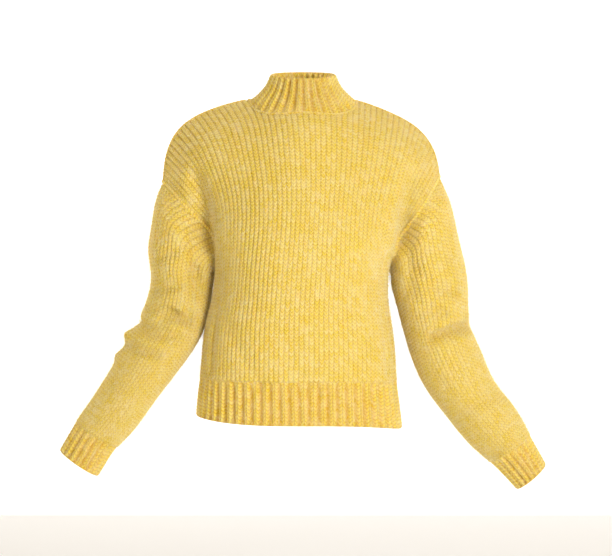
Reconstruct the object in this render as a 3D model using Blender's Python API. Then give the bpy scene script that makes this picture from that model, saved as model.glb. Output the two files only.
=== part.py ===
"""A chunky knitted pullover with a mock neck and dropped shoulders, filled out as it is when worn.

Nobody is inside it: neck, hem, cuffs and armholes are open. Units are metres, +Z is up, and the front
faces -Y. The origin is the middle of the neckline, level with the shoulder line. The skin of the whole
garment is worked out first, as smooth surfaces through a few rows and rings of measured points, and each
knitted piece is then a wall of its own cut from that skin along the seams.
"""

import bpy
import numpy as np

# Driving dimensions
WALL = 0.003  # thickness of the knitted fabric
COLLAR_WALL = 0.0045  # the collar is folded double
SEAM_GAP = 0.0003  # between two pieces at a seam
RIB_TOP = 2  # the torso row where the hem's ribbing ends
UNDERARM = 6  # the torso row that passes the underarms

# The torso below the underarms. Each ring is a rounded rectangle:
# height, reach to -X, reach to +X, reach to the front, reach to the back, squareness, drop of the +X side
TORSO_RINGS = (
    (-0.560, 0.187, 0.173, 0.119, 0.104, 2.5, 0.022),  # edge of the hem
    (-0.522, 0.184, 0.168, 0.122, 0.107, 2.5, 0.014),
    (-0.486, 0.180, 0.163, 0.127, 0.111, 2.5, 0.006),  # top of the ribbing
    (-0.440, 0.176, 0.160, 0.131, 0.114, 2.5, 0.000),
    (-0.395, 0.171, 0.155, 0.135, 0.117, 2.4, 0.000),
    (-0.345, 0.160, 0.148, 0.139, 0.119, 2.3, 0.000),
    (-0.300, 0.154, 0.149, 0.141, 0.120, 2.3, 0.000),  # underarm
)

# The torso above the underarms, for the -X half. Each row runs from the middle over the chest (or
# shoulder blade) and the front (or back) of the shoulder to the armhole seam.
FRONT_ROWS = (
    ((0.0, -0.141, -0.235), (0.085, -0.128, -0.237), (0.143, -0.085, -0.245), (0.152, -0.030, -0.275)),
    ((0.0, -0.133, -0.170), (0.083, -0.118, -0.172), (0.147, -0.086, -0.188), (0.158, -0.048, -0.244)),
    ((0.0, -0.116, -0.105), (0.085, -0.101, -0.108), (0.160, -0.079, -0.134), (0.182, -0.056, -0.209)),
    ((0.0, -0.088, -0.038), (0.092, -0.066, -0.050), (0.178, -0.056, -0.085), (0.215, -0.042, -0.172)),
)
BACK_ROWS = (
    ((0.0, 0.124, -0.235), (0.086, 0.113, -0.236), (0.145, 0.078, -0.245), (0.154, 0.032, -0.272)),
    ((0.0, 0.124, -0.170), (0.087, 0.112, -0.171), (0.151, 0.083, -0.188), (0.163, 0.052, -0.238)),
    ((0.0, 0.114, -0.105), (0.088, 0.100, -0.107), (0.163, 0.079, -0.134), (0.188, 0.060, -0.204)),
    ((0.0, 0.084, -0.038), (0.094, 0.066, -0.047), (0.180, 0.058, -0.085), (0.220, 0.048, -0.168)),
)
# How far the +X half reaches sideways, as a share of the -X half, row by row
PLUS_X_SHARE = (1.03, 1.07, 1.05, 1.0)

# The last row, shared by the front and the back: the shoulder seams, joined by a line over the neck
SHOULDER_X = (0.2455, 0.2400, 0.2190, 0.1540, 0.0900, 0.0, -0.0850, -0.1500, -0.2090, -0.2320, -0.2390)
SHOULDER_Z = (-0.140, -0.095, -0.051, -0.012, 0.004, 0.009, 0.003, -0.019, -0.056, -0.095, -0.131)

# The neckline seen from above: half width, reach to the front and to the back of its middle
NECK_MIDDLE_Y = 0.005
NECK_HALF_WIDTH, NECK_FRONT, NECK_BACK = 0.095, 0.082, 0.064

# The collar above the neckline. Each ring: half width, front Y, back Y, heights of the front, sides and back
COLLAR_RINGS = (
    (0.0795, -0.0710, 0.0635, -0.0120, 0.0120, 0.0150),
    (0.0685, -0.0635, 0.0585, 0.0040, 0.0240, 0.0300),
    (0.0620, -0.0585, 0.0545, 0.0190, 0.0355, 0.0440),
    (0.0575, -0.0555, 0.0515, 0.0335, 0.0470, 0.0570),  # top edge
)

# The sleeves. Each ring: outer X and Z, inner X and Z, middle Y, half depth. X is given without its sign.
MINUS_X_SLEEVE = (
    (0.2585, -0.180, 0.1590, -0.314, 0.002, 0.066),
    (0.2650, -0.222, 0.1615, -0.327, 0.000, 0.063),
    (0.2700, -0.262, 0.1630, -0.341, -0.002, 0.060),
    (0.2650, -0.303, 0.1650, -0.356, -0.004, 0.057),
    (0.2730, -0.350, 0.1690, -0.380, -0.006, 0.055),
    (0.2870, -0.382, 0.1780, -0.409, -0.009, 0.054),
    (0.3040, -0.408, 0.2000, -0.446, -0.013, 0.053),
    (0.3185, -0.440, 0.2295, -0.486, -0.020, 0.051),
    (0.3465, -0.490, 0.2675, -0.537, -0.028, 0.048),
    (0.3765, -0.536, 0.3025, -0.583, -0.037, 0.045),
    (0.3910, -0.557, 0.3210, -0.602, -0.042, 0.041),  # start of the cuff
    (0.4050, -0.580, 0.3365, -0.625, -0.046, 0.039),
    (0.4190, -0.605, 0.3520, -0.651, -0.050, 0.038),  # edge of the cuff
)
PLUS_X_SLEEVE = (
    (0.2545, -0.172, 0.1545, -0.306, 0.002, 0.066),
    (0.2640, -0.208, 0.1550, -0.320, 0.000, 0.062),
    (0.2725, -0.247, 0.1580, -0.335, -0.002, 0.059),
    (0.2825, -0.290, 0.1630, -0.353, -0.004, 0.056),
    (0.2870, -0.335, 0.1690, -0.376, -0.006, 0.054),
    (0.2885, -0.376, 0.1775, -0.408, -0.009, 0.053),
    (0.2965, -0.408, 0.1880, -0.444, -0.012, 0.052),
    (0.3100, -0.440, 0.2085, -0.492, -0.018, 0.050),
    (0.3320, -0.490, 0.2465, -0.546, -0.025, 0.048),
    (0.3695, -0.540, 0.2915, -0.600, -0.034, 0.047),
    (0.3915, -0.581, 0.3230, -0.628, -0.041, 0.041),  # start of the cuff
    (0.4055, -0.606, 0.3450, -0.650, -0.045, 0.037),
    (0.4185, -0.630, 0.3670, -0.674, -0.049, 0.036),  # edge of the cuff
)
CUFF_START = 10  # the ring of either list where the cuff's ribbing starts

# Creases: the line that each follows, how wide it is to either side, and the push at its middle
CREASES = (
    # the valley between the chest and the front of each armhole
    (((-0.196, -0.075, -0.135), (-0.170, -0.062, -0.190), (-0.162, -0.045, -0.250)), 0.018, (0.006, 0.020, 0.0)),
    (((0.196, -0.075, -0.130), (0.174, -0.062, -0.185), (0.163, -0.045, -0.245)), 0.018, (-0.004, 0.016, 0.0)),
    # the same at the back
    (((-0.196, 0.080, -0.135), (-0.172, 0.072, -0.190), (-0.160, 0.050, -0.250)), 0.018, (0.005, -0.014, 0.0)),
    (((0.196, 0.080, -0.130), (0.176, 0.072, -0.185), (0.163, 0.050, -0.245)), 0.018, (-0.004, -0.014, 0.0)),
    # creases at the bend of each sleeve
    (((-0.300, -0.020, -0.386), (-0.262, -0.065, -0.388), (-0.225, -0.062, -0.372)), 0.012, (0.005, 0.006, 0.003)),
    (((-0.300, 0.020, -0.386), (-0.262, 0.055, -0.388), (-0.225, 0.055, -0.372)), 0.012, (0.005, -0.006, 0.003)),
    (((0.296, -0.020, -0.392), (0.262, -0.062, -0.402), (0.226, -0.060, -0.414)), 0.012, (-0.005, 0.006, 0.002)),
    (((0.296, 0.020, -0.392), (0.262, 0.055, -0.402), (0.226, 0.055, -0.414)), 0.012, (-0.005, -0.006, 0.002)),
)

# How finely the skin is divided
SHOULDER_COLUMNS, NECK_COLUMNS = 7, 14
ROWS_ABOVE_UNDERARM = 10
ROWS_BETWEEN_RINGS = 1
FINE = 240  # points along a curve while its length is measured

YARN = (0.83, 0.60, 0.13, 1.0)
RIB_YARN = (0.80, 0.56, 0.11, 1.0)


def cubic(knots, values, at):
    """The natural cubic spline through values at the knots, read at the given places."""
    knots, values = np.asarray(knots, float), np.asarray(values, float)
    count = len(knots)
    step = np.diff(knots)
    system, right = np.eye(count), np.zeros((count,) + values.shape[1:])
    slope = np.diff(values, axis=0) / step.reshape((-1,) + (1,) * (values.ndim - 1))
    for i in range(1, count - 1):
        system[i, i - 1 : i + 2] = step[i - 1], 2 * (step[i - 1] + step[i]), step[i]
        right[i] = 6 * (slope[i] - slope[i - 1])
    bend = np.linalg.solve(system, right.reshape(count, -1)).reshape(right.shape)
    at = np.asarray(at, float)
    i = np.clip(np.searchsorted(knots, at, side="right") - 1, 0, count - 2)
    shape = (-1,) + (1,) * (values.ndim - 1)
    h, a, b = (x.reshape(shape) for x in (step[i], knots[i + 1] - at, at - knots[i]))
    return (
        bend[i] * a**3 / (6 * h)
        + bend[i + 1] * b**3 / (6 * h)
        + (values[i] / h - bend[i] * h / 6) * a
        + (values[i + 1] / h - bend[i + 1] * h / 6) * b
    )


def lengths(points):
    """How far along a polyline each of its points is."""
    return np.concatenate([[0.0], np.cumsum(np.linalg.norm(np.diff(points, axis=0), axis=1))])


def smooth(controls):
    """A fine polyline through a few control points."""
    controls = np.asarray(controls, float)
    along = lengths(controls)
    return cubic(along, controls, np.linspace(0, along[-1], FINE))


def spread(line, shares):
    """The points at these shares of a polyline's length."""
    along = lengths(line)
    at = np.asarray(shares) * along[-1]
    return np.stack([np.interp(at, along, line[:, k]) for k in range(3)], axis=1)


def half_ring(ring, front):
    """The front or back half of a torso ring, from the -X side to the +X side."""
    height, minus, plus, to_front, to_back, squareness, drop = ring
    turn = np.linspace(-np.pi / 2, np.pi / 2, FINE)
    power = 2 / squareness
    x = np.sign(np.sin(turn)) * np.abs(np.sin(turn)) ** power
    y = np.maximum(np.cos(turn), 0) ** power
    x = np.where(x < 0, x * minus, x * plus)
    y = y * (-to_front if front else to_back)
    z = height + drop / 2 * np.sign(-x) * np.abs(x / np.where(x < 0, minus, plus)) ** 3
    return np.stack([x, y, z], axis=1)


def upper_row(row, share):
    """A row above the underarms, from the -X armhole to the +X one, from the points of its -X half."""
    row = np.array(row, float)
    far = row[1:] * [share, 1, 1]
    near = row[:0:-1] * [-1, 1, 1]
    return smooth(np.concatenate([near, row[:1], far]))


def torso_rows(front):
    """Every row of the front or back, from the hem to the shoulder seam, as fine polylines."""
    rows = [half_ring(ring, front) for ring in TORSO_RINGS]
    above = FRONT_ROWS if front else BACK_ROWS
    rows += [upper_row(row, share) for row, share in zip(above, PLUS_X_SHARE)]
    return rows + [smooth([(-x, NECK_MIDDLE_Y, z) for x, z in zip(SHOULDER_X, SHOULDER_Z)])]


class Panel:
    """The smooth surface of the front or the back, read by column and by row."""

    def __init__(self, front):
        self.front = front
        self.rows = torso_rows(front)
        middles = np.array([spread(row, [0.25, 0.5, 0.75]).mean(axis=0) for row in self.rows])
        self.knots = lengths(middles)
        self.underarm, self.top = self.knots[UNDERARM], self.knots[-1]

    def column(self, share, at):
        """Points of the column at this share of each row's length, at these distances up the panel."""
        return cubic(self.knots, np.array([spread(row, [share])[0] for row in self.rows]), at)

    def row(self, number):
        """The distance up the panel of a row in the lists above."""
        return self.knots[number]


def inside_neckline(points):
    """Below 0 where a point is inside the neckline as seen from above."""
    x, y = points[..., 0], points[..., 1] - NECK_MIDDLE_Y
    return (x / NECK_HALF_WIDTH) ** 2 + (y / np.where(y < 0, NECK_FRONT, NECK_BACK)) ** 2 - 1


def neckline_height(panel, share):
    """How far up the panel this column meets the neckline."""
    at = np.linspace(panel.underarm, panel.top, FINE)
    inside = inside_neckline(panel.column(share, at))
    crossing = int(np.argmax(inside < 0))
    before, after = inside[crossing - 1], inside[crossing]
    return at[crossing - 1] + (at[1] - at[0]) * before / (before - after)


def neck_point_shares(panel):
    """The columns of the two neck points, where the neckline meets the shoulder seams."""
    top = panel.rows[-1]
    return np.interp([-NECK_HALF_WIDTH, NECK_HALF_WIDTH], top[:, 0], lengths(top)) / lengths(top)[-1]


def panel_grid(panel):
    """The panel's points by row and column: every column ends on a shoulder seam or on the neckline."""
    first, last = neck_point_shares(panel)
    shares = np.concatenate(
        [
            np.linspace(0, first, SHOULDER_COLUMNS + 1)[:-1],
            first + (last - first) * (1 - np.cos(np.linspace(0, np.pi, NECK_COLUMNS + 1))) / 2,
            np.linspace(last, 1, SHOULDER_COLUMNS + 1)[1:],
        ]
    )
    below = [panel.row(number) for number in range(UNDERARM + 1)]
    columns = []
    for share in shares:
        neck = first + 1e-6 < share < last - 1e-6
        top = neckline_height(panel, share) if neck else panel.top
        above = np.linspace(panel.underarm, top, ROWS_ABOVE_UNDERARM + 1)[1:]
        columns.append(panel.column(share, np.concatenate([below, above])))
    return np.array(columns).transpose(1, 0, 2)


def loft(rings, between):
    """Smooth rows through a list of rings with equal numbers of points, with more between each two."""
    rings = np.array(rings)
    knots = lengths(rings.mean(axis=1))
    at = np.concatenate([np.linspace(a, b, between + 1)[:-1] for a, b in zip(knots, knots[1:])] + [knots[-1:]])
    return cubic(knots, rings, at)


def sleeve_ring(side, ring, turns):
    """One ring of a sleeve. A turn of 0 is at the underarm, and it passes the front before the top."""
    outer_x, outer_z, inner_x, inner_z, middle_y, depth = ring
    outer = np.array([side * outer_x, middle_y, outer_z])
    inner = np.array([side * inner_x, middle_y, inner_z])
    along = (outer + inner) / 2 + np.outer(-np.cos(turns), (outer - inner) / 2)
    return along + np.outer(np.sin(turns), [0, -depth, 0])


def armhole(front, back, side):
    """The armhole seam, from the underarm up the front's edge and down the back's."""
    edge = 0 if side < 0 else -1
    return np.concatenate([front[UNDERARM:, edge], back[-2:UNDERARM:-1, edge]])


def neckline(front, back):
    """The neckline seam, from the -X neck point along the front and back along the back."""
    part = slice(SHOULDER_COLUMNS, SHOULDER_COLUMNS + NECK_COLUMNS + 1)
    return np.concatenate([front[-1, part], back[-1, part][-2:0:-1]])


def sleeve_grid(front, back, side):
    seam = armhole(front, back, side)
    rings = MINUS_X_SLEEVE if side < 0 else PLUS_X_SLEEVE
    turns = np.linspace(0, 2 * np.pi, len(seam), endpoint=False)
    return loft([seam] + [sleeve_ring(side, ring, turns) for ring in rings], ROWS_BETWEEN_RINGS)


def collar_grid(front, back):
    seam = neckline(front, back)
    turns = np.arctan2(seam[:, 0] / NECK_HALF_WIDTH, -(seam[:, 1] - NECK_MIDDLE_Y) / NECK_FRONT)
    rings = [seam]
    forward = np.cos(turns)
    for half_width, front_y, back_y, front_z, side_z, back_z in COLLAR_RINGS:
        y = back_y + (front_y - back_y) * (1 + forward) / 2
        z = side_z + (front_z - back_z) / 2 * forward + ((front_z + back_z) / 2 - side_z) * forward**2
        rings.append(np.stack([half_width * np.sin(turns), y, z], axis=1))
    return loft(rings, 1)


def crease(points):
    """Presses the creases into the skin's points."""
    pushed = points.copy()
    for line, width, push in CREASES:
        path = smooth(line)[::8]
        away = np.linalg.norm(points[:, None] - path[None], axis=2).min(axis=1)
        pushed += np.exp(-((away / width) ** 2))[:, None] * np.array(push)
    return pushed


class Skin:
    """The welded skin of the whole garment. Each piece is a list of faces with four or three points."""

    def __init__(self):
        self.points, self.number, self.pieces = [], {}, {}

    def point(self, place):
        key = tuple(np.round(place, 6))
        if key not in self.number:
            self.number[key] = len(self.points)
            self.points.append(place)
        return self.number[key]

    def add(self, name, grid, closed, outwards):
        """Adds a grid as a piece. outwards says whether its rows and columns turn with the outside."""
        numbers = [[self.point(place) for place in row] for row in grid]
        faces = []
        for below, above in zip(numbers, numbers[1:]):
            following = range(len(below)) if closed else range(1, len(below))
            for i in following:
                face = [below[i - 1], below[i], above[i], above[i - 1]]
                faces.append(face if outwards else face[::-1])
        self.pieces[name] = faces

    def normals(self, points):
        """Each point's outward direction, shared by the pieces that meet there."""
        summed = np.zeros_like(points)
        for faces in self.pieces.values():
            for face in faces:
                a, b, c, d = (points[i] for i in face)
                summed[face] += np.cross(c - a, d - b)
        return summed / np.linalg.norm(summed, axis=1)[:, None]


def border(faces):
    """The directed edges that only one face of the piece has."""
    edges = {(face[i - 1], face[i]) for face in faces for i in range(4)}
    return [edge for edge in edges if edge[::-1] not in edges]


def seam_shift(points, normals, edges):
    """How far each border point moves into its piece, square to the seam and to the fabric."""
    inwards = {}
    for a, b in edges:
        for i in (a, b):
            across = np.cross(normals[i], points[b] - points[a])
            inwards.setdefault(i, []).append(across / np.linalg.norm(across))
    shift = {}
    for i, ways in inwards.items():
        bisector = np.mean(ways, axis=0)
        shift[i] = bisector / bisector.dot(bisector) * SEAM_GAP / 2
    return shift


def rim(a, b, count, order):
    """The two faces that close the rim between outer points a and b, split alike on both sides of a seam."""
    outer_a, outer_b = order[a], order[b]
    inner_a, inner_b = count + outer_a, count + outer_b
    if a < b:
        return [[outer_b, outer_a, inner_b], [outer_a, inner_a, inner_b]]
    return [[outer_b, outer_a, inner_a], [outer_b, inner_a, inner_b]]


def knitted_piece(name, skin, points, normals, wall, colour):
    """Makes one piece: its outside on the skin, its inside a wall's thickness in, and its rims."""
    faces = skin.pieces[name]
    edges = border(faces)
    shift = seam_shift(points, normals, edges)
    outer = {i: points[i] + shift.get(i, 0) for face in faces for i in face}
    order = {i: place for place, i in enumerate(outer)}
    count = len(order)
    places = list(outer.values())
    places += [place - wall * normals[i] for i, place in outer.items()]
    shell = [[order[i] for i in face] for face in faces]
    shell += [[count + order[i] for i in face[::-1]] for face in faces]
    for a, b in edges:
        shell += rim(a, b, count, order)
    mesh = bpy.data.meshes.new(name)
    mesh.from_pydata([tuple(place) for place in places], [], shell)
    mesh.shade_smooth()
    material = bpy.data.materials.new(name + "_yarn")
    material.use_nodes = True
    shader = material.node_tree.nodes["Principled BSDF"]
    shader.inputs["Base Color"].default_value = colour
    shader.inputs["Roughness"].default_value = 0.95
    shader.inputs["Metallic"].default_value = 0.0
    mesh.materials.append(material)
    piece = bpy.data.objects.new(name, mesh)
    bpy.context.scene.collection.objects.link(piece)


def clear_scene():
    for obj in list(bpy.data.objects):
        bpy.data.objects.remove(obj)


def build():
    clear_scene()
    front, back = panel_grid(Panel(front=True)), panel_grid(Panel(front=False))
    skin = Skin()
    skin.add("front_hem_rib", front[: RIB_TOP + 1], closed=False, outwards=True)
    skin.add("front_panel", front[RIB_TOP:], closed=False, outwards=True)
    skin.add("back_hem_rib", back[: RIB_TOP + 1], closed=False, outwards=False)
    skin.add("back_panel", back[RIB_TOP:], closed=False, outwards=False)
    cuff_row = (CUFF_START + 1) * ROWS_BETWEEN_RINGS
    for side, label in ((-1, "right"), (1, "left")):
        sleeve = sleeve_grid(front, back, side)
        skin.add(f"{label}_sleeve", sleeve[: cuff_row + 1], closed=True, outwards=side < 0)
        skin.add(f"{label}_cuff", sleeve[cuff_row:], closed=True, outwards=side < 0)
    skin.add("collar", collar_grid(front, back), closed=True, outwards=True)
    points = crease(np.array(skin.points))
    normals = skin.normals(points)
    for name in skin.pieces:
        wall = COLLAR_WALL if name == "collar" else WALL
        colour = YARN if name.endswith(("panel", "sleeve")) else RIB_YARN
        knitted_piece(name, skin, points, normals, wall, colour)


build()
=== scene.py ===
"""The look of a chunky knitted pullover with a mock neck and dropped shoulders, worn shape with no wearer.

Every knitted piece is a thin closed shell with its own stitches: each column of stitches (a wale) is a
line of nested V shapes, each row of them is a course. Ribbing alternates a raised wale with a sunken one.
A halo of brushed fibres stands on the outside. Units are metres, and the front faces -Y.
"""

import bpy
import numpy as np
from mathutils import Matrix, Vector


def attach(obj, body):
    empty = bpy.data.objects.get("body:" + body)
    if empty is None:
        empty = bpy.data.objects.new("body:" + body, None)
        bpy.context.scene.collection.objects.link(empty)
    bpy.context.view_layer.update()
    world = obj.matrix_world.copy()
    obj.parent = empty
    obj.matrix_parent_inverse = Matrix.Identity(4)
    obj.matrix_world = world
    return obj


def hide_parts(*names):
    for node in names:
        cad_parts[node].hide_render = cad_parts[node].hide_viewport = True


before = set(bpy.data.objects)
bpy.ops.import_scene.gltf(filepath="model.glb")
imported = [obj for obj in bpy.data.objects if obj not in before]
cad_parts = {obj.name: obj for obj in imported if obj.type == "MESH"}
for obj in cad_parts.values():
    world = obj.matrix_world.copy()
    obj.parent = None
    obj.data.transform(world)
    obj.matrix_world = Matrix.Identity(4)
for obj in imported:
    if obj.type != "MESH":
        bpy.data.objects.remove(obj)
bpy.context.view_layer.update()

# The form: the same measured rows and rings as the solids'
WALL = 0.003  # thickness of the knitted fabric
COLLAR_WALL = 0.0045  # the collar is folded double
UNDERARM = 6  # the torso row that passes the underarms

# The torso below the underarms. Each ring is a rounded rectangle:
# height, reach to -X, reach to +X, reach to the front, reach to the back, squareness, drop of the +X side
TORSO_RINGS = (
    (-0.560, 0.187, 0.173, 0.119, 0.104, 2.5, 0.022),  # edge of the hem
    (-0.522, 0.184, 0.168, 0.122, 0.107, 2.5, 0.014),
    (-0.486, 0.180, 0.163, 0.127, 0.111, 2.5, 0.006),  # top of the ribbing
    (-0.440, 0.176, 0.160, 0.131, 0.114, 2.5, 0.000),
    (-0.395, 0.171, 0.155, 0.135, 0.117, 2.4, 0.000),
    (-0.345, 0.160, 0.148, 0.139, 0.119, 2.3, 0.000),
    (-0.300, 0.154, 0.149, 0.141, 0.120, 2.3, 0.000),  # underarm
)
RIB_TOP = 2

# The torso above the underarms, for the -X half. Each row runs from the middle over the chest (or
# shoulder blade) and the front (or back) of the shoulder to the armhole seam.
FRONT_ROWS = (
    ((0.0, -0.141, -0.235), (0.085, -0.128, -0.237), (0.143, -0.085, -0.245), (0.152, -0.030, -0.275)),
    ((0.0, -0.133, -0.170), (0.083, -0.118, -0.172), (0.147, -0.086, -0.188), (0.158, -0.048, -0.244)),
    ((0.0, -0.116, -0.105), (0.085, -0.101, -0.108), (0.160, -0.079, -0.134), (0.182, -0.056, -0.209)),
    ((0.0, -0.088, -0.038), (0.092, -0.066, -0.050), (0.178, -0.056, -0.085), (0.215, -0.042, -0.172)),
)
BACK_ROWS = (
    ((0.0, 0.124, -0.235), (0.086, 0.113, -0.236), (0.145, 0.078, -0.245), (0.154, 0.032, -0.272)),
    ((0.0, 0.124, -0.170), (0.087, 0.112, -0.171), (0.151, 0.083, -0.188), (0.163, 0.052, -0.238)),
    ((0.0, 0.114, -0.105), (0.088, 0.100, -0.107), (0.163, 0.079, -0.134), (0.188, 0.060, -0.204)),
    ((0.0, 0.084, -0.038), (0.094, 0.066, -0.047), (0.180, 0.058, -0.085), (0.220, 0.048, -0.168)),
)
# How far the +X half reaches sideways, as a share of the -X half, row by row
PLUS_X_SHARE = (1.03, 1.07, 1.05, 1.0)

# The last row, shared by the front and the back: the shoulder seams, joined by a line over the neck
SHOULDER_X = (0.2455, 0.2400, 0.2190, 0.1540, 0.0900, 0.0, -0.0850, -0.1500, -0.2090, -0.2320, -0.2390)
SHOULDER_Z = (-0.140, -0.095, -0.051, -0.012, 0.004, 0.009, 0.003, -0.019, -0.056, -0.095, -0.131)

# The neckline seen from above: half width, reach to the front and to the back of its middle
NECK_MIDDLE_Y = 0.005
NECK_HALF_WIDTH, NECK_FRONT, NECK_BACK = 0.095, 0.082, 0.064

# The collar above the neckline. Each ring: half width, front Y, back Y, heights of the front, sides and back
COLLAR_RINGS = (
    (0.0795, -0.0710, 0.0635, -0.0120, 0.0120, 0.0150),
    (0.0685, -0.0635, 0.0585, 0.0040, 0.0240, 0.0300),
    (0.0620, -0.0585, 0.0545, 0.0190, 0.0355, 0.0440),
    (0.0575, -0.0555, 0.0515, 0.0335, 0.0470, 0.0570),  # top edge
)

# The sleeves. Each ring: outer X and Z, inner X and Z, middle Y, half depth. X is given without its sign.
MINUS_X_SLEEVE = (
    (0.2585, -0.180, 0.1590, -0.314, 0.002, 0.066),
    (0.2650, -0.222, 0.1615, -0.327, 0.000, 0.063),
    (0.2700, -0.262, 0.1630, -0.341, -0.002, 0.060),
    (0.2650, -0.303, 0.1650, -0.356, -0.004, 0.057),
    (0.2730, -0.350, 0.1690, -0.380, -0.006, 0.055),
    (0.2870, -0.382, 0.1780, -0.409, -0.009, 0.054),
    (0.3040, -0.408, 0.2000, -0.446, -0.013, 0.053),
    (0.3185, -0.440, 0.2295, -0.486, -0.020, 0.051),
    (0.3465, -0.490, 0.2675, -0.537, -0.028, 0.048),
    (0.3765, -0.536, 0.3025, -0.583, -0.037, 0.045),
    (0.3910, -0.557, 0.3210, -0.602, -0.042, 0.041),  # start of the cuff
    (0.4050, -0.580, 0.3365, -0.625, -0.046, 0.039),
    (0.4190, -0.605, 0.3520, -0.651, -0.050, 0.038),  # edge of the cuff
)
PLUS_X_SLEEVE = (
    (0.2545, -0.172, 0.1545, -0.306, 0.002, 0.066),
    (0.2640, -0.208, 0.1550, -0.320, 0.000, 0.062),
    (0.2725, -0.247, 0.1580, -0.335, -0.002, 0.059),
    (0.2825, -0.290, 0.1630, -0.353, -0.004, 0.056),
    (0.2870, -0.335, 0.1690, -0.376, -0.006, 0.054),
    (0.2885, -0.376, 0.1775, -0.408, -0.009, 0.053),
    (0.2965, -0.408, 0.1880, -0.444, -0.012, 0.052),
    (0.3100, -0.440, 0.2085, -0.492, -0.018, 0.050),
    (0.3320, -0.490, 0.2465, -0.546, -0.025, 0.048),
    (0.3695, -0.540, 0.2915, -0.600, -0.034, 0.047),
    (0.3915, -0.581, 0.3230, -0.628, -0.041, 0.041),  # start of the cuff
    (0.4055, -0.606, 0.3450, -0.650, -0.045, 0.037),
    (0.4185, -0.630, 0.3670, -0.674, -0.049, 0.036),  # edge of the cuff
)
CUFF_START = 11  # the row of a sleeve where the cuff's ribbing starts, counting the armhole as row 0

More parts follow.
